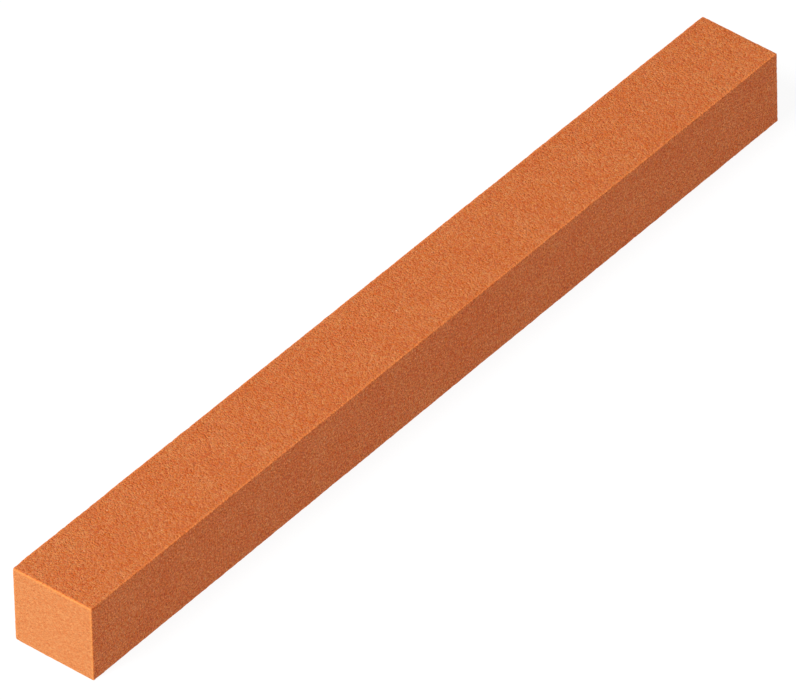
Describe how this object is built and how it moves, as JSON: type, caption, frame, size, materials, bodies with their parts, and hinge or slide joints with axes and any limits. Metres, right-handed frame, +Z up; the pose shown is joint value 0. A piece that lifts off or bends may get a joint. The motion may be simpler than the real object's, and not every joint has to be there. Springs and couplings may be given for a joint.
{
  "type": "sanding stick",
  "caption": "Solid straight bar of bonded abrasive with a near-square section, crisp, barely rounded long edges and flat cut ends, for smoothing small work by hand.",
  "frame": {"origin": "middle of the face that the bar rests on, half way along it", "axes": "+Y along the bar's length, +X across its width, +Z up from the resting face"},
  "size_m": [0.0136, 0.15, 0.0125],
  "materials": {
    "bonded_abrasive": "matte"
  },
  "bodies": {
    "root": {"abrasive_bar": "bonded_abrasive"}
  },
  "joints": []
}
